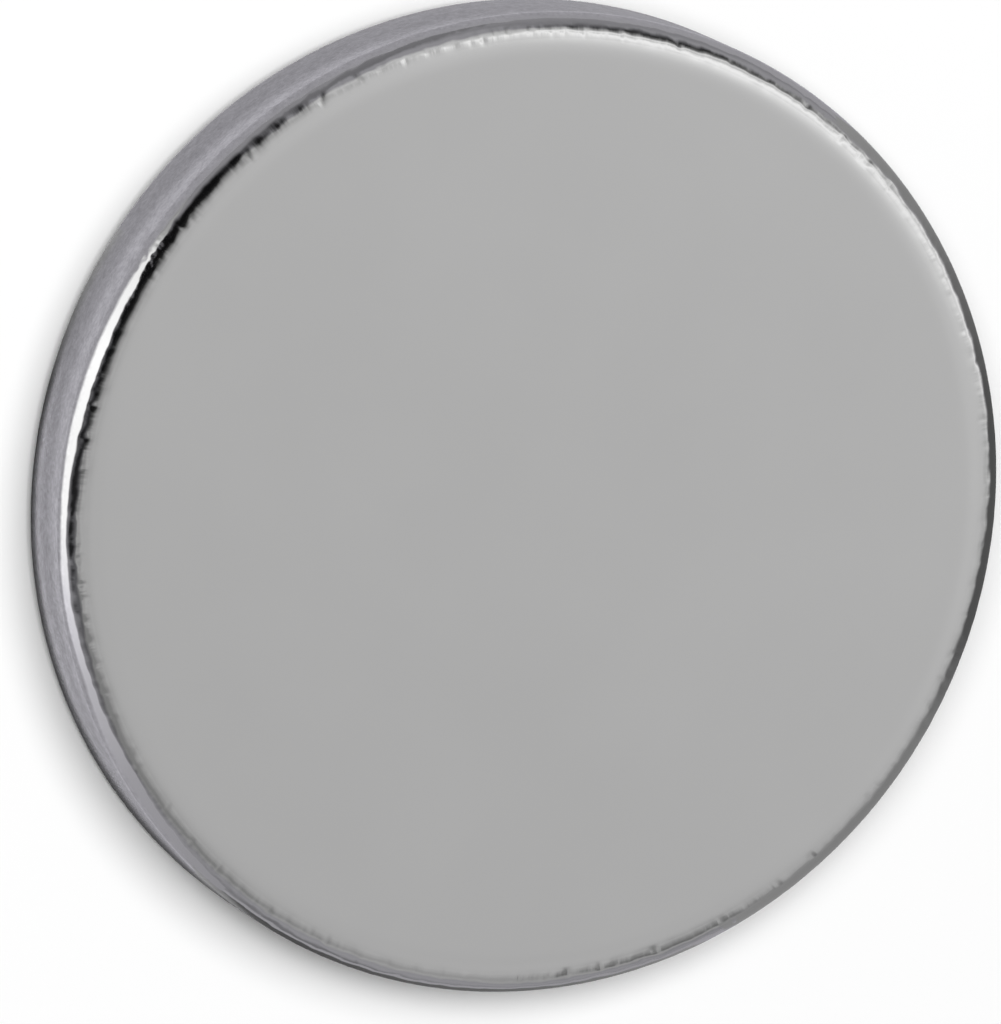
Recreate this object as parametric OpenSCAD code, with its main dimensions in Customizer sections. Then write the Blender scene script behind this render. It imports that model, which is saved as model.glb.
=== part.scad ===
// Disc magnet: one sintered, ground and tumbled disc with a bright nickel plate.
// Units are millimetres. The disc lies flat: +Z is its axis, and the origin is
// the centre of the face that it lies on.

/* [Disc] */
// Diameter over the side wall
disc_d = 16; // [6:0.5:40]
// Thickness between the two ground faces
disc_t = 2; // [1.2:0.1:10]

/* [Tumbled edges] */
// Radius of the rounded edge that runs into the side wall
edge_r = 0.34; // [0.1:0.02:0.5]
// Radius of the soft shoulder between a flat face and its rounded edge
shoulder_r = 3; // [1:0.25:6]
// Angle in degrees that the surface has turned where the shoulder ends
shoulder_angle = 7; // [1:0.5:10]

/* [Surface] */
// Sides of the preview's circles
round_sides = 180; // [60:12:360]

/* [Hidden] */
$fn = round_sides;

disc_r = disc_d / 2;
half_t = disc_t / 2;

// The shoulder arc leaves the flat face level, and the edge arc takes over from
// it at the same slope, then meets the wall upright. The edge arc stands a hair
// proud, so that the two arcs cross and leave no step where they would only touch.
arc_lap = 0.00002;
edge_centre_x = disc_r - edge_r;
edge_start_x = edge_centre_x + edge_r * sin(shoulder_angle);
flat_r = edge_start_x - shoulder_r * sin(shoulder_angle);
shoulder_drop = shoulder_r * (1 - cos(shoulder_angle));
edge_centre_z = half_t - shoulder_drop - edge_r * cos(shoulder_angle) + arc_lap;

// One face's soft shoulder: the big arc's circle, kept where it is above the
// mid-plane and inside the edge
module shoulder_section() {
    intersection() {
        translate([flat_r, half_t - shoulder_r]) circle(shoulder_r);
        square([edge_start_x, half_t]);
    }
}

// Half section from the axis to the wall: a core, and on each side of the
// mid-plane a flat face, its shoulder and its rounded edge
module half_section() {
    translate([0, -edge_centre_z]) square([disc_r, 2 * edge_centre_z]);
    translate([0, -half_t]) square([flat_r, disc_t]);
    for (side = [0, 1]) mirror([0, side]) {
        shoulder_section();
        translate([edge_centre_x, edge_centre_z]) circle(edge_r);
    }
}

// The whole disc, turned about its axis
module magnet_disc() {
    color([0.69, 0.69, 0.7])
        translate([0, 0, half_t])
            rotate_extrude() half_section();
}

magnet_disc();
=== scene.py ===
import math

import bmesh
import bpy
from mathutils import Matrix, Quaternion, Vector, noise


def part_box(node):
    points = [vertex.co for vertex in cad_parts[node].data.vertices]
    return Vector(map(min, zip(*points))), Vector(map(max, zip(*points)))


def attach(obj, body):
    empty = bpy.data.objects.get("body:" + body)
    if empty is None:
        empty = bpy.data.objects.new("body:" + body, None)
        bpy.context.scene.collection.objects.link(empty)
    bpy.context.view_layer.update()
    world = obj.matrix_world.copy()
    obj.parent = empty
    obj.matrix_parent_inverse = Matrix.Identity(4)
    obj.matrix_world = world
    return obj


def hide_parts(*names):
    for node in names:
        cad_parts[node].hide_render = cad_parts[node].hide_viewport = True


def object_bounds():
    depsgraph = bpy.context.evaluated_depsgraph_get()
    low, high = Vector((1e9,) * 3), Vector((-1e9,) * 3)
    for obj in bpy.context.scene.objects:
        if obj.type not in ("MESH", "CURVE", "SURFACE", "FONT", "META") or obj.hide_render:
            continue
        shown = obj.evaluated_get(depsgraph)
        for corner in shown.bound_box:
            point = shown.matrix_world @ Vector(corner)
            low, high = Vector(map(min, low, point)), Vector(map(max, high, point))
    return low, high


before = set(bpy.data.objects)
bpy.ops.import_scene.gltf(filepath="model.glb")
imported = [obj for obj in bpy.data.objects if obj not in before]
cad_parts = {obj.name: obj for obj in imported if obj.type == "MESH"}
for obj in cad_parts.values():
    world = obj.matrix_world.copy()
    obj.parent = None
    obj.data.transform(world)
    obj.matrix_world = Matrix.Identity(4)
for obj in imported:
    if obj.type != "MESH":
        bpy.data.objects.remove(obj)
cad_low, cad_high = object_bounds()


# ---------------------------------------------------------------------------
# The plated disc. One block of sintered magnet, sliced and ground flat, then
# tumbled with others until its edges are round and a little chipped, then
# plated with bright nickel. Nothing is fitted to it.
# ---------------------------------------------------------------------------
disc_low, disc_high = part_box("magnet_disc")
disc_radius = disc_high.x
half_thickness = (disc_high.z - disc_low.z) / 2
middle = Vector((0, 0, disc_low.z + half_thickness))

edge_radius = 0.34e-3
shoulder_radius = 3e-3
shoulder_angle = math.radians(7)

edge_centre_x = disc_radius - edge_radius
edge_start_x = edge_centre_x + edge_radius * math.sin(shoulder_angle)
flat_radius = edge_start_x - shoulder_radius * math.sin(shoulder_angle)
shoulder_drop = shoulder_radius * (1 - math.cos(shoulder_angle))
edge_centre_z = half_thickness - shoulder_drop - edge_radius * math.cos(shoulder_angle)

# Rings of corners on the flat face, as shares of its radius
face_rings = (0.5, 0.93, 0.985, 1)
shoulder_steps = 6
edge_steps = 14
slices = 36
steps_in_slice = 50
weld_distance = 1e-7


def turned_disc():
    """The section from the axis to the mid-plane, mirrored and turned into one slice, which is repeated."""
    section = bmesh.new()
    tip = section.verts.new((0, 0, half_thickness))
    for share in face_rings:
        point = section.verts.new((flat_radius * share, 0, half_thickness))
        section.edges.new((tip, point))
        tip = point

    def swing(point, centre_x, centre_z, angle, steps):
        arc = bmesh.ops.spin(section, geom=[point], cent=(centre_x, 0, centre_z), axis=(0, 1, 0),
                             angle=angle, steps=steps, use_duplicate=False)
        return arc["geom_last"][0]

    tip = swing(tip, flat_radius, half_thickness - shoulder_radius, shoulder_angle, shoulder_steps)
    tip = swing(tip, edge_centre_x, edge_centre_z, math.pi / 2 - shoulder_angle, edge_steps)
    wall_foot = section.verts.new((disc_radius, 0, 0))
    section.edges.new((tip, wall_foot))
    bmesh.ops.mirror(section, geom=section.verts[:] + section.edges[:], axis="Z", merge_dist=weld_distance)
    bmesh.ops.remove_doubles(section, verts=section.verts[:], dist=weld_distance)

    slice_angle = 2 * math.pi / slices
    bmesh.ops.spin(section, geom=section.verts[:] + section.edges[:], cent=(0, 0, 0), axis=(0, 0, 1),
                   angle=slice_angle, steps=steps_in_slice, use_duplicate=False)
    bmesh.ops.spin(section, geom=section.verts[:] + section.edges[:] + section.faces[:], cent=(0, 0, 0),
                   axis=(0, 0, 1), angle=slice_angle * (slices - 1), steps=slices - 1, use_duplicate=True)
    bmesh.ops.remove_doubles(section, verts=section.verts[:], dist=weld_distance)
    bmesh.ops.recalc_face_normals(section, faces=section.faces[:])
    return section


wander_length = 0.25e-3
wander_depth = 19e-6
tooth_length = 0.11e-3
tooth_depth = 9e-6
tooth_mean = 0.1
ragged_from = -0.12e-3
ragged_full = 0.01e-3
ragged_fades = 0.13e-3
ragged_to = 0.29e-3
chip_length = 0.16e-3
chip_depth = 11e-6
chip_start = 0.15
chip_reach = 0.16e-3
wall_wear = 1.5e-6
scuff_azimuth = math.radians(266)
scuff_width = math.radians(4)
scuff_length = 0.08e-3
scuff_depth = 22e-6
nick_azimuth = math.radians(284.8)
nick_place = Quaternion((0, 0, 1), nick_azimuth) @ Vector((7.76e-3, 0, 0.955e-3))
nick_reach = 0.05e-3
nick_depth = 6e-6


def knocked_back(place, normal):
    """How tumbling has moved the surface at a place. Where the face turns into the edge it is ragged in
    plan, and from there to the wall it is chipped and a little scuffed."""
    across = math.hypot(place.x, place.y)
    beyond = across - edge_start_x
    if beyond < ragged_from:
        return Vector((0, 0, 0))
    share = min(1, (beyond - ragged_from) / (ragged_full - ragged_from))
    if beyond > ragged_fades:
        share = max(0, (ragged_to - beyond) / (ragged_to - ragged_fades))
    tooth = max(0, noise.noise(place / tooth_length)) - tooth_mean
    ragged = share * (wander_depth * noise.noise(place / wander_length) + tooth_depth * tooth)
    depth = 0
    if beyond > 0:
        chip = max(0, noise.noise(place / chip_length) - chip_start)
        depth = chip_depth * chip * math.exp(-(beyond / chip_reach) ** 2)
        depth += wall_wear * (1 - share) * (0.5 + 0.5 * noise.noise(place / wander_length))
        turn = (math.atan2(place.y, place.x) - scuff_azimuth + math.pi) % (2 * math.pi) - math.pi
        if place.z > 0:
            scuff = max(0, noise.noise(place / scuff_length))
            depth += scuff_depth * scuff * math.exp(-(turn / scuff_width) ** 2) * min(1, beyond / chip_reach)
    depth += nick_depth * math.exp(-((place - nick_place).length / nick_reach) ** 2)
    inwards = Vector((-place.x, -place.y, 0)) / across
    return inwards * ragged - normal * depth


disc_shape = turned_disc()
disc_shape.normal_update()
for corner in disc_shape.verts:
    corner.co += knocked_back(corner.co, corner.normal)
bmesh.ops.translate(disc_shape, verts=disc_shape.verts[:], vec=middle)
for face in disc_shape.faces:
    face.smooth = True
disc_mesh = bpy.data.meshes.new("plated_disc")
disc_shape.to_mesh(disc_mesh)
disc_shape.free()
plated_disc = bpy.data.objects.new("plated_disc", disc_mesh)
bpy.context.collection.objects.link(plated_disc)


nickel_paint = (0.62, 0.619, 0.618)
wall_paint = (0.6, 0.597, 0.606)
wall_start = disc_radius - 0.07e-3
teeth_start = disc_radius - 0.38e-3
tooth_pitch = 0.09e-3
tooth_relief = 1.6e-6
grinding_pitch = 0.22e-3
grinding_width = 0.07e-3
grinding_relief = 0.8e-6
grain_size = 0.07e-3
mottle_size = 0.2e-3
mottle_contrast = 0.16
haze_size = 2.4e-3
haze_contrast = 0.01
face_roughness = (0.1, 0.12)
wall_adds_roughness = 0.1
fine_detail = 2
deep_detail = 3
# What a cloud's values, and two clouds' sum, mostly lie between
cloud_range = (0.3, 0.7)
sum_range = (0.7, 1.3)


def nickel_plate():
    """Bright nickel, a mirror that is a little hazy. Fine teeth run round the edge. The side wall, which is
    ground along its length, is duller and mottled, with a breath of violet."""
    material = bpy.data.materials.new("nickel_plate")
    material.use_nodes = True
    nodes, links = material.node_tree.nodes, material.node_tree.links
    shader = nodes["Principled BSDF"]
    shader.inputs["Metallic"].default_value = 1
    place = nodes.new("ShaderNodeTexCoord").outputs["Object"]

    def vectors(operation, first, second=None, output="Vector"):
        node = nodes.new("ShaderNodeVectorMath")
        node.operation = operation
        links.new(first, node.inputs[0])
        if isinstance(second, tuple):
            node.inputs[1].default_value = second
        elif second:
            links.new(second, node.inputs[1])
        return node.outputs[output]

    def numbers(operation, first, second):
        node = nodes.new("ShaderNodeMath")
        node.operation = operation
        links.new(first, node.inputs[0])
        links.new(second, node.inputs[1])
        return node.outputs["Value"]

    def cloud(vector, size, detail):
        node = nodes.new("ShaderNodeTexNoise")
        node.inputs["Scale"].default_value = 1 / size
        node.inputs["Detail"].default_value = detail
        links.new(vector, node.inputs["Vector"])
        return node.outputs["Fac"]

    def spread(value, low, high, to_low, to_high):
        node = nodes.new("ShaderNodeMapRange")
        node.inputs["From Min"].default_value = low
        node.inputs["From Max"].default_value = high
        node.inputs["To Min"].default_value = to_low
        node.inputs["To Max"].default_value = to_high
        links.new(value, node.inputs["Value"])
        return node.outputs["Result"]

    outwards = vectors("MULTIPLY", place, (1, 1, 0))
    across = vectors("LENGTH", outwards, output="Value")
    on_edge = spread(across, teeth_start, edge_start_x, 0, 1)
    on_wall = spread(across, wall_start, disc_radius, 0, 1)

    def wrapped(round_pitch, up_pitch):
        """A vector that steps by one for each pitch, round the disc and up it."""
        turns = disc_radius / round_pitch
        around = vectors("MULTIPLY", vectors("NORMALIZE", outwards), (turns, turns, 0))
        return vectors("ADD", around, vectors("MULTIPLY", place, (0, 0, 1 / up_pitch)))

    teeth = cloud(wrapped(tooth_pitch, grinding_pitch), 1, fine_detail)
    grinding = cloud(wrapped(grinding_pitch, grinding_width), 1, deep_detail)
    grain = cloud(place, grain_size, fine_detail)
    relief = nodes.new("ShaderNodeBump")
    relief.inputs["Distance"].default_value = tooth_relief
    links.new(numbers("MULTIPLY", teeth, on_edge), relief.inputs["Height"])
    rub = nodes.new("ShaderNodeBump")
    rub.inputs["Distance"].default_value = grinding_relief
    links.new(numbers("MULTIPLY", numbers("ADD", grinding, grain), on_wall), rub.inputs["Height"])
    links.new(relief.outputs["Normal"], rub.inputs["Normal"])
    links.new(rub.outputs["Normal"], shader.inputs["Normal"])

    paint = nodes.new("ShaderNodeValToRGB")
    paint.color_ramp.elements[0].color = (*nickel_paint, 1)
    paint.color_ramp.elements[1].color = (*wall_paint, 1)
    links.new(on_wall, paint.inputs["Fac"])
    haze = spread(cloud(place, haze_size, deep_detail), *cloud_range, 1 - haze_contrast, 1 + haze_contrast)
    blotches = numbers("ADD", grain, cloud(place, mottle_size, deep_detail))
    mottle = spread(blotches, *sum_range, -mottle_contrast, mottle_contrast)
    tone = numbers("ADD", haze, numbers("MULTIPLY", mottle, on_wall))
    shade = nodes.new("ShaderNodeVectorMath")
    shade.operation = "SCALE"
    links.new(paint.outputs["Color"], shade.inputs[0])
    links.new(tone, shade.inputs["Scale"])
    links.new(shade.outputs["Vector"], shader.inputs["Base Color"])
    face_part = spread(cloud(place, haze_size, fine_detail), *cloud_range, *face_roughness)
    wall_part = spread(on_wall, 0, 1, 0, wall_adds_roughness)
    links.new(numbers("ADD", face_part, wall_part), shader.inputs["Roughness"])
    return material


disc_mesh.materials.append(nickel_plate())
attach(plated_disc, "root")
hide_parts("magnet_disc")


# ---------------------------------------------------------------------------
# The camera, a long lens that looks steeply down on the face and is rolled,
# so that the side wall shows along the upper left of the view.
# ---------------------------------------------------------------------------
camera_elevation = math.radians(67.3)
camera_azimuth = math.radians(270)
camera_roll = math.radians(118.8)
camera_distance = 0.2287
lens_mm = 500
sensor_mm = 36
nearest_seen = 0.001
farthest_seen = 10
framing_right = 0.275e-3
framing_up = 0.244e-3


def seen_at(azimuth, elevation, distance=1):
    """A place as seen from the disc's middle. Azimuth turns from +X towards +Y. Angles are in radians."""
    level = math.cos(elevation)
    way = Vector((math.cos(azimuth) * level, math.sin(azimuth) * level, math.sin(elevation)))
    return middle + way * distance


camera_data = bpy.data.cameras.new("camera")
camera_data.lens = lens_mm
camera_data.sensor_width = sensor_mm
camera_data.clip_start = nearest_seen
camera_data.clip_end = farthest_seen
camera = bpy.data.objects.new("camera", camera_data)
bpy.context.collection.objects.link(camera)
camera_place = seen_at(camera_azimuth, camera_elevation, camera_distance)
camera_turn = (middle - camera_place).to_track_quat("-Z", "Y") @ Quaternion((0, 0, 1), camera_roll)
camera_right = camera_turn @ Vector((1, 0, 0))
camera_up = camera_turn @ Vector((0, 1, 0))
camera.rotation_mode = "QUATERNION"
camera.rotation_quaternion = camera_turn
camera.location = camera_place - camera_right * framing_right - camera_up * framing_up
bpy.context.scene.camera = camera


# ---------------------------------------------------------------------------
# The floor: a plain white board with a matt coat, which takes the disc's
# shadow and is wide enough to fill the view.
# ---------------------------------------------------------------------------
floor_half_width = 1.0
board_paint = (0.95, 0.95, 0.95)
board_roughness = 0.9
floor_shape = bmesh.new()
bmesh.ops.create_grid(floor_shape, x_segments=1, y_segments=1, size=floor_half_width)
bmesh.ops.translate(floor_shape, verts=floor_shape.verts[:], vec=(0, 0, cad_low.z))
floor_mesh = bpy.data.meshes.new("floor")
floor_shape.to_mesh(floor_mesh)
floor_shape.free()
floor = bpy.data.objects.new("floor", floor_mesh)
bpy.context.collection.objects.link(floor)


def white_board():
    material = bpy.data.materials.new("white_board")
    material.use_nodes = True
    shader = material.node_tree.nodes["Principled BSDF"]
    shader.inputs["Base Color"].default_value = (*board_paint, 1)
    shader.inputs["Roughness"].default_value = board_roughness
    shader.inputs["Specular IOR Level"].default_value = 0
    return material


floor_mesh.materials.append(white_board())


# ---------------------------------------------------------------------------
# The light tent: a glowing cloth dome round the disc, seen only in the plate,
# a painted reflection. It glows evenly where the face looks, darker round that,
# with a painted pool of light and painted ovals of darker and brighter glow.
# ---------------------------------------------------------------------------
glow_azimuth = math.radians(94)
glow_elevation = math.radians(67)
glow_way = seen_at(glow_azimuth, glow_elevation) - middle
# How the bare cloth glows at each angle from that way, in degrees
cloth_stops = ((0, 0.62), (5, 0.635), (9, 0.65), (11, 0.65), (12.5, 0.635), (14, 0.6), (16, 0.53),
               (20, 0.47), (28, 0.49), (38, 0.67), (50, (0.41, 0.405, 0.43)), (62, (0.42, 0.415, 0.44)),
               (75, (0.32, 0.315, 0.335)), (92, (0.36, 0.355, 0.375)))
# The pool's oval, and what it adds from its middle (0) past its rim (1)
pool_oval = (135.6, 60.2, 18.3, 10, 38.7)
pool_stops = ((0, 0.4), (0.35, 0.56), (0.6, 0.92), (0.8, 0.64), (1, 0.38), (1.3, 0.15), (1.7, 0.1), (2.3, 0))
# Each oval starts with its azimuth, elevation, half-length, half-width and lean
# in degrees. A painted one goes on with how soft its rim is and how bright it
# paints the cloth at its middle, where 1 is as bright as before.
camera_dark_oval = (258.9, 59.3, 18.4, 32.5, -19, 0.44, 0.02)
side_dark_oval = (158.4, 45.5, 22.6, 9.9, -30.6, 0.89, 0.02)
long_dark_oval = (309.4, 44.2, 67.4, 15.9, 42.4, 0.85, 0.34)
low_dark_oval = (220, 25, 59.7, 10, 59.5, 0.31, 0.71)
corner_dark_oval = (307.7, 45.7, 8.6, 18.7, 21.8, 0.57, 0.14)
short_dark_oval = (69.9, 46.2, 4.2, 10.2, -16.7, 0.41, 0.51)
far_bright_oval = (53.5, 52, 11, 9, 36, 0.69, 1.38)
near_bright_oval = (75.4, 48.4, 3.6, 5.2, -37.5, 0.8, 1.36)
low_bright_oval = (121.4, 34.4, 7.6, 19.5, -8.1, 0.85, 1.86)
high_bright_oval = (346.3, 75.8, 13, 5.5, 37.9, 0.38, 1.86)
painted_ovals = (camera_dark_oval, side_dark_oval, long_dark_oval, low_dark_oval, corner_dark_oval, short_dark_oval,
              far_bright_oval, near_bright_oval, low_bright_oval, high_bright_oval)
tent_radius = 0.6
tent_slices = 96
tent_rings = 48


def show_in_plate_only(card):
    """Hangs a tent or a card where the plate reflects it, hidden from the camera and from the floor."""
    card.visible_camera = False
    card.visible_diffuse = False
    card.visible_shadow = False
    bpy.context.collection.objects.link(card)


def self_lit(name, strength=1):
    """A material that glows by itself, but is dark to light that has already met the floor."""
    material = bpy.data.materials.new(name)
    material.use_nodes = True
    nodes, links = material.node_tree.nodes, material.node_tree.links
    nodes.clear()
    output = nodes.new("ShaderNodeOutputMaterial")
    glow = nodes.new("ShaderNodeEmission")
    ray = nodes.new("ShaderNodeLightPath")
    level = nodes.new("ShaderNodeMapRange")
    level.inputs["To Min"].default_value = strength
    level.inputs["To Max"].default_value = 0
    links.new(ray.outputs["Diffuse Depth"], level.inputs["Value"])
    links.new(level.outputs["Result"], glow.inputs["Strength"])
    links.new(glow.outputs["Emission"], output.inputs["Surface"])
    return material, nodes, links, glow


def fill_ramp(ramp, stops):
    """Sets a colour ramp's stops, each a position and a grey or an RGB colour."""
    elements = ramp.color_ramp.elements
    while len(elements) < len(stops):
        elements.new(1)
    for element, (position, paint) in zip(elements, stops):
        element.position = position
        element.color = (paint, paint, paint, 1) if isinstance(paint, (int, float)) else (*paint, 1)


def tent_cloth():
    """Glowing cloth, with the painted ovals' darker and brighter glow on it and the painted pool of light
    added.
    """
    material, nodes, links, glow = self_lit("tent_cloth")
    place = nodes.new("ShaderNodeTexCoord")
    unit = nodes.new("ShaderNodeVectorMath")
    unit.operation = "NORMALIZE"
    links.new(place.outputs["Object"], unit.inputs[0])

    def along(way):
        """How far the cloth lies along a way, as a share of the tent's radius."""
        dot = nodes.new("ShaderNodeVectorMath")
        dot.operation = "DOT_PRODUCT"
        dot.inputs[1].default_value = way
        links.new(unit.outputs["Vector"], dot.inputs[0])
        return dot.outputs["Value"]

    def off_oval(azimuth, elevation, half_length, half_width, lean):
        """How far off an oval's middle the cloth is, where 1 is the oval's rim."""
        azimuth, elevation, lean = math.radians(azimuth), math.radians(elevation), math.radians(lean)
        way = seen_at(azimuth, elevation) - middle
        level = Vector((-math.sin(azimuth), math.cos(azimuth), 0))
        length_way = level * math.cos(lean) + way.cross(level) * math.sin(lean)
        sides = nodes.new("ShaderNodeCombineXYZ")
        links.new(along(length_way / math.sin(math.radians(half_length))), sides.inputs["X"])
        links.new(along(way.cross(length_way) / math.sin(math.radians(half_width))), sides.inputs["Y"])
        off = nodes.new("ShaderNodeVectorMath")
        off.operation = "LENGTH"
        links.new(sides.outputs["Vector"], off.inputs[0])
        return off.outputs["Value"]

    def toned(paint, off, softness, level):
        """The paint, made darker or lighter inside an oval's rim."""
        shade = nodes.new("ShaderNodeMapRange")
        shade.interpolation_type = "SMOOTHSTEP"
        shade.inputs["From Min"].default_value = 1 - softness
        shade.inputs["From Max"].default_value = 1 + softness
        shade.inputs["To Min"].default_value = level
        shade.inputs["To Max"].default_value = 1
        links.new(off, shade.inputs["Value"])
        scaled = nodes.new("ShaderNodeVectorMath")
        scaled.operation = "SCALE"
        links.new(paint, scaled.inputs[0])
        links.new(shade.outputs["Result"], scaled.inputs["Scale"])
        return scaled.outputs["Vector"]

    share = nodes.new("ShaderNodeMapRange")
    share.inputs["From Min"].default_value = -1
    links.new(along(glow_way), share.inputs["Value"])
    cloth = nodes.new("ShaderNodeValToRGB")
    fill_ramp(cloth, [((math.cos(math.radians(angle)) + 1) / 2, level)
                      for angle, level in reversed(cloth_stops)])
    links.new(share.outputs["Result"], cloth.inputs["Fac"])
    paint = cloth.outputs["Color"]
    for *oval, softness, level in painted_ovals:
        paint = toned(paint, off_oval(*oval), softness, level)

    pool_end = pool_stops[-1][0]
    pool_reach = nodes.new("ShaderNodeMapRange")
    pool_reach.inputs["From Max"].default_value = pool_end
    links.new(off_oval(*pool_oval), pool_reach.inputs["Value"])
    pool = nodes.new("ShaderNodeValToRGB")
    fill_ramp(pool, [(off / pool_end, level) for off, level in pool_stops])
    links.new(pool_reach.outputs["Result"], pool.inputs["Fac"])
    both = nodes.new("ShaderNodeVectorMath")
    both.operation = "ADD"
    links.new(paint, both.inputs[0])
    links.new(pool.outputs["Color"], both.inputs[1])
    links.new(both.outputs["Vector"], glow.inputs["Color"])
    return material


tent_shape = bmesh.new()
bmesh.ops.create_uvsphere(tent_shape, u_segments=tent_slices, v_segments=tent_rings, radius=tent_radius)
bmesh.ops.bisect_plane(tent_shape, geom=tent_shape.verts[:] + tent_shape.edges[:] + tent_shape.faces[:],
                       plane_co=(0, 0, 0), plane_no=(0, 0, 1), clear_inner=True)
bmesh.ops.reverse_faces(tent_shape, faces=tent_shape.faces[:])
for face in tent_shape.faces:
    face.smooth = True
tent_mesh = bpy.data.meshes.new("tent")
tent_shape.to_mesh(tent_mesh)
tent_shape.free()
tent_mesh.materials.append(tent_cloth())
show_in_plate_only(bpy.data.objects.new("tent", tent_mesh))


# ---------------------------------------------------------------------------
# Glowing cards, seen only in the edge and the side wall, that paint reflections:
# a bright strip for the highlight, a grey one along its foot and a dark strip of
# painted shade stand bent round the disc. A grey card with painted shade at the
# foot lies round it, with a dark mat of painted shade and, at the disc's foot,
# rings of painted shade and glint.
# ---------------------------------------------------------------------------
card_steps = 96
card_lift = 2e-6
violet_tint = (0.985, 1.05)


def turn_ramp(nodes, links, stops):
    """A ramp over the azimuth, with its stops in degrees. The place is flipped through the axis first, so
    that the ramp's two ends meet at +X."""
    place = nodes.new("ShaderNodeTexCoord")
    flip = nodes.new("ShaderNodeVectorMath")
    flip.operation = "SCALE"
    flip.inputs["Scale"].default_value = -1
    split = nodes.new("ShaderNodeSeparateXYZ")
    azimuth = nodes.new("ShaderNodeMath")
    azimuth.operation = "ARCTAN2"
    share = nodes.new("ShaderNodeMapRange")
    share.inputs["From Min"].default_value = -math.pi
    share.inputs["From Max"].default_value = math.pi
    ramp = nodes.new("ShaderNodeValToRGB")
    fill_ramp(ramp, [(angle / 360, paint) for angle, paint in stops])
    links.new(place.outputs["Object"], flip.inputs[0])
    links.new(flip.outputs["Vector"], split.inputs[0])
    links.new(split.outputs["Y"], azimuth.inputs[0])
    links.new(split.outputs["X"], azimuth.inputs[1])
    links.new(azimuth.outputs["Value"], share.inputs["Value"])
    links.new(share.outputs["Result"], ramp.inputs["Fac"])
    return ramp.outputs["Color"]


def curved_card(name, section, azimuth_from, azimuth_to, material):
    """A card bent round the disc: a line in the XZ plane, swept between two azimuths in degrees."""
    shape = bmesh.new()
    corners = [shape.verts.new((x, 0, z)) for x, z in section]
    for one, next_one in zip(corners, corners[1:]):
        shape.edges.new((one, next_one))
    bmesh.ops.rotate(shape, verts=shape.verts[:], cent=(0, 0, 0),
                     matrix=Quaternion((0, 0, 1), math.radians(azimuth_from)).to_matrix())
    bmesh.ops.spin(shape, geom=shape.verts[:] + shape.edges[:], cent=(0, 0, 0), axis=(0, 0, 1),
                   angle=math.radians(azimuth_to - azimuth_from), steps=card_steps,
                   use_merge=azimuth_to - azimuth_from == 360, use_duplicate=False)
    mesh = bpy.data.meshes.new(name)
    shape.to_mesh(mesh)
    shape.free()
    mesh.materials.append(material)
    show_in_plate_only(bpy.data.objects.new(name, mesh))


def lying(inner_gap, outer_gap, layer):
    """The line of a card that lies flat, between two distances off the wall, in its layer of paper."""
    return (disc_radius + inner_gap, layer * card_lift), (disc_radius + outer_gap, layer * card_lift)


def standing(gap, foot, top):
    """The line of a card that stands upright, at one distance off the wall."""
    return (disc_radius + gap, foot), (disc_radius + gap, top)


def violet(level):
    """A grey with a breath of violet."""
    return level, level * violet_tint[0], level * violet_tint[1]


card_under_disc = 0.28e-3
card_width = 0.392
card_reach = 1e-3
# The grey card's levels, from the wall's foot (0) out to its reach (1): painted shade near the foot, then a
# painted lighter band
card_shade_stops = ((0, violet(0.42)), (0.24, violet(0.4)), (0.3, violet(0.36)), (0.4, violet(0.39)),
              (0.45, violet(0.43)), (0.5, violet(0.5)), (0.55, violet(0.6)), (0.6, violet(0.76)),
              (0.65, violet(0.7)), (0.7, violet(0.59)), (1, violet(0.47)))


def grey_card_painted_shade():
    """A glowing violet grey that changes with the distance from the disc's foot: painted shade close to the
    foot, then a painted lighter band.
    """
    material, nodes, links, glow = self_lit("grey_card_painted_shade")
    place = nodes.new("ShaderNodeTexCoord")
    flat = nodes.new("ShaderNodeVectorMath")
    flat.operation = "MULTIPLY"
    flat.inputs[1].default_value = (1, 1, 0)
    across = nodes.new("ShaderNodeVectorMath")
    across.operation = "LENGTH"
    share = nodes.new("ShaderNodeMapRange")
    share.inputs["From Min"].default_value = disc_radius
    share.inputs["From Max"].default_value = disc_radius + card_reach
    ramp = nodes.new("ShaderNodeValToRGB")
    fill_ramp(ramp, card_shade_stops)
    links.new(place.outputs["Object"], flat.inputs[0])
    links.new(flat.outputs["Vector"], across.inputs[0])
    links.new(across.outputs["Value"], share.inputs["Value"])
    links.new(share.outputs["Result"], ramp.inputs["Fac"])
    links.new(ramp.outputs["Color"], glow.inputs["Color"])
    return material


strip_height = 7e-3
foot_blur = 0.2e-3


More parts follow.
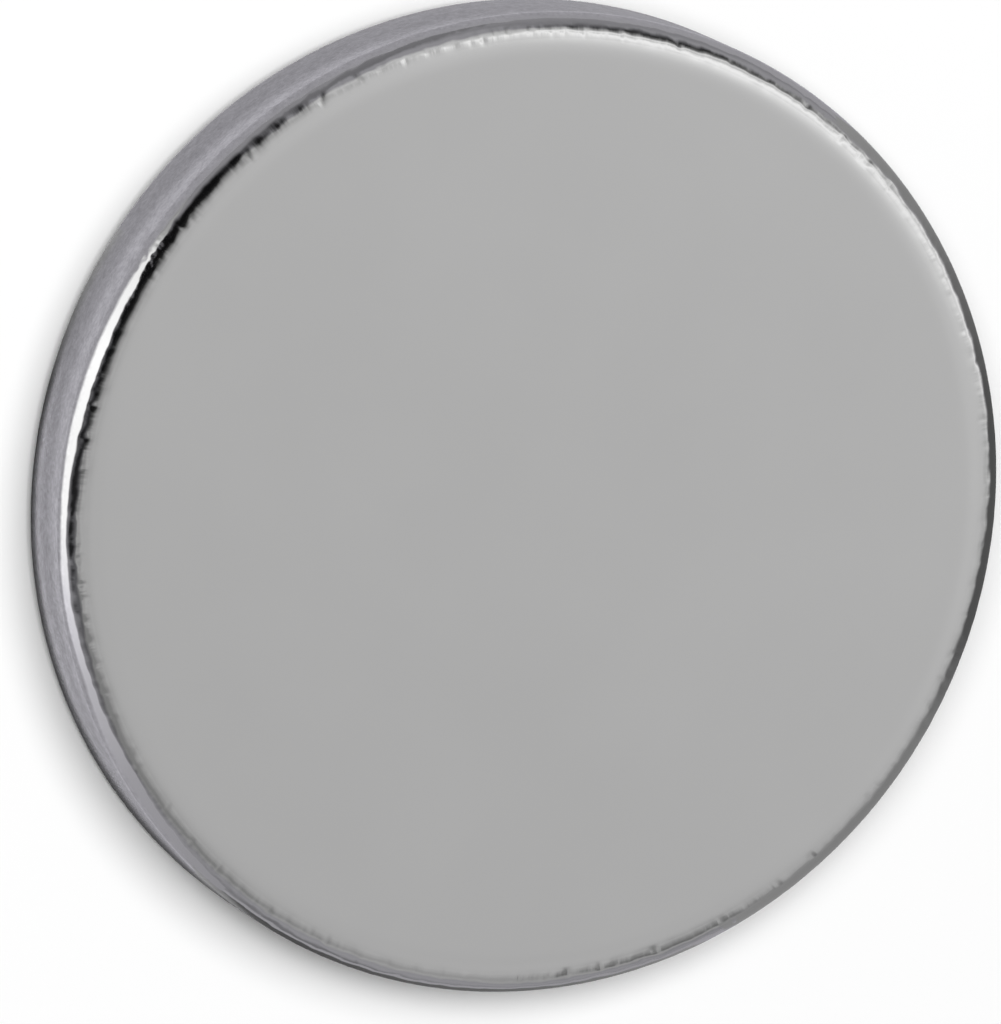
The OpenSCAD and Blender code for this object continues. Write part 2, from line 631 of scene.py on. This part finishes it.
def strip_paint(name, strength, posts, softness=None):
    """A strip's level round the disc. Each post gives an azimuth and a level and, where the strip is cut
    off softly, the heights of its foot and its top."""
    material, nodes, links, glow = self_lit(name, strength)
    links.new(turn_ramp(nodes, links, [(post[0], post[1]) for post in posts]), glow.inputs["Color"])
    if softness is None:
        return material
    place = nodes.new("ShaderNodeTexCoord")
    split = nodes.new("ShaderNodeSeparateXYZ")
    links.new(place.outputs["Object"], split.inputs[0])

    def above(line, blur):
        """0 below a line round the disc and 1 above it, over the blur."""
        off = nodes.new("ShaderNodeMath")
        off.operation = "MULTIPLY_ADD"
        off.inputs[1].default_value = -strip_height
        links.new(turn_ramp(nodes, links, [(azimuth, height / strip_height) for azimuth, height in line]),
                  off.inputs[0])
        links.new(split.outputs["Z"], off.inputs[2])
        cover = nodes.new("ShaderNodeMapRange")
        cover.inputs["From Min"].default_value = -blur / 2
        cover.inputs["From Max"].default_value = blur / 2
        links.new(off.outputs["Value"], cover.inputs["Value"])
        return cover.outputs["Result"]

    cover = nodes.new("ShaderNodeMath")
    cover.operation = "SUBTRACT"
    cover.use_clamp = True
    links.new(above([(post[0], post[2]) for post in posts], foot_blur), cover.inputs[0])
    links.new(above([(post[0], post[3]) for post in posts], softness), cover.inputs[1])
    clear = nodes.new("ShaderNodeBsdfTransparent")
    mixed = nodes.new("ShaderNodeMixShader")
    links.new(cover.outputs["Value"], mixed.inputs["Fac"])
    links.new(clear.outputs["BSDF"], mixed.inputs[1])
    links.new(glow.outputs["Emission"], mixed.inputs[2])
    output = next(node for node in nodes if node.type == "OUTPUT_MATERIAL")
    links.new(mixed.outputs["Shader"], output.inputs["Surface"])
    return material


# The bright strip glows: it paints the highlight along the edge.
bright_gap = 0.4e-3
bright_height = 2.8e-3
bright_strength = 1.8
bright_softness = 0.1e-3
# Azimuth in degrees, level, and the heights of the lit part's foot and top
bright_posts = ((258, 0.23, 1.81e-3, 1.85e-3), (263, 0.3, 1.85e-3, 2.2e-3), (265.5, 0.7, 1.85e-3, 2.2e-3),
                (268, 0.74, 1.81e-3, 2.3e-3), (279, 0.9, 1.61e-3, 2.37e-3), (289, 0.84, 1.45e-3, 2.13e-3),
                (299, 0.86, 1.55e-3, 1.95e-3), (309, violet(0.61), 1.42e-3, 1.98e-3),
                (319, violet(0.405), 1.71e-3, 2.25e-3), (332, violet(0.28), 1.32e-3, 2.48e-3),
                (350, violet(0.23), 1.52e-3, 2.04e-3))
strip_foot_gap = 0.45e-3
strip_foot_low = 1.45e-3
strip_foot_top = 1.73e-3
strip_foot_stops = ((300, violet(0.45)), (322, violet(0.42)))
# The dark strip and mat glow dimly: painted shade that the far edge and the wall reflect.
shade_strip_gap = 4e-3
shade_strip_softness = 1.85e-3
shade_strip_posts = ((60, 0.36, 0, 5.6e-3), (88, 0.29, 0, 5.3e-3), (100, 0.12, 0, 5.7e-3), (125, 0.11, 0, 4.2e-3),
               (137, 0.2, 0, 4.25e-3), (147, 0.3, 0, 4.25e-3), (162, 0.4, 0, 4.2e-3))
curved_card("grey_card_painted_shade", lying(-card_under_disc, card_width, layer=1), 0, 360, grey_card_painted_shade())
curved_card("bright_strip", standing(bright_gap, 0, bright_height), 258, 350,
            strip_paint("bright_strip", bright_strength, bright_posts, bright_softness))
curved_card("strip_foot", standing(strip_foot_gap, strip_foot_low, strip_foot_top), 258, 322,
            strip_paint("strip_foot", 1, strip_foot_stops))
curved_card("shade_strip", standing(shade_strip_gap, 0, strip_height), 60, 162,
            strip_paint("shade_strip", 1, shade_strip_posts, shade_strip_softness))
curved_card("shade_mat", lying(0, shade_strip_gap, layer=2), 60, 162,
            strip_paint("shade_mat", 1, shade_strip_posts))

# Glowing rings on the grey card, at the disc's foot: painted shade that reaches
# in under the edge, wider painted shade along one side, and a narrow painted
# glint on both. The stops are azimuths and levels.
foot_reach = 0.178e-3
foot_stops = ((0, 0.06), (18, 0.06), (35, violet(0.41)), (265, 0.42), (285, 0.06), (360, 0.06))
side_gap = 0.16e-3
side_reach = 6e-3
side_stops = ((0, 0.13), (6, 0.1), (18, 0.13), (31, 0.18), (43, 0.25), (56, 0.36), (350, 0.42), (357, 0.3),
              (360, 0.13))
glint_width = 0.057e-3
glint_stops = ((0, violet(0.3)), (30, violet(0.3)), (280, violet(0.43)), (292, violet(0.85)),
               (320, violet(1)), (334, violet(0.75)), (344, violet(0.35)))
curved_card("foot_glint", lying(foot_reach, foot_reach + glint_width, layer=4), 280, 390,
            strip_paint("foot_glint", 1, glint_stops))
curved_card("foot_shade", lying(-card_under_disc, foot_reach, layer=3), 265, 395,
            strip_paint("foot_shade", 1, foot_stops))
curved_card("side_shade", lying(side_gap, side_reach, layer=3), -10, 56,
            strip_paint("side_shade", 1, side_stops))


# ---------------------------------------------------------------------------
# The light on the floor: two soft lamps overhead, a large one and a smaller
# one nearer the camera. Next to nothing comes from low down all round.
# ---------------------------------------------------------------------------
lamp_distance = 0.5


def soft_lamp(name, azimuth, elevation, size, energy):
    """A round lamp that faces the disc, with its angles in degrees. Only the floor takes its light."""
    lamp_data = bpy.data.lights.new(name, "AREA")
    lamp_data.shape = "DISK"
    lamp_data.size = size
    lamp_data.energy = energy
    lamp = bpy.data.objects.new(name, lamp_data)
    bpy.context.collection.objects.link(lamp)
    lamp.location = seen_at(math.radians(azimuth), math.radians(elevation), lamp_distance)
    lamp.rotation_mode = "QUATERNION"
    lamp.rotation_quaternion = (middle - lamp.location).to_track_quat("-Z", "Y")
    lamp.visible_camera = False
    lamp.visible_glossy = False


soft_lamp("large_lamp", azimuth=216, elevation=78, size=0.375, energy=2.29)
soft_lamp("small_lamp", azimuth=262, elevation=60.5, size=0.147, energy=0.69)

around_level = 0.02


def studio_world():
    """White to the eye and to the plate, and next to dark on all else."""
    world = bpy.data.worlds.new("studio")
    world.use_nodes = True
    nodes, links = world.node_tree.nodes, world.node_tree.links
    background = nodes["Background"]
    background.inputs["Color"].default_value = (1, 1, 1, 1)
    ray = nodes.new("ShaderNodeLightPath")
    level = nodes.new("ShaderNodeMapRange")
    level.inputs["To Min"].default_value = 1
    level.inputs["To Max"].default_value = around_level
    links.new(ray.outputs["Is Diffuse Ray"], level.inputs["Value"])
    links.new(level.outputs["Result"], background.inputs["Strength"])
    return world


bpy.context.scene.world = studio_world()
bpy.context.scene.view_settings.view_transform = "Standard"
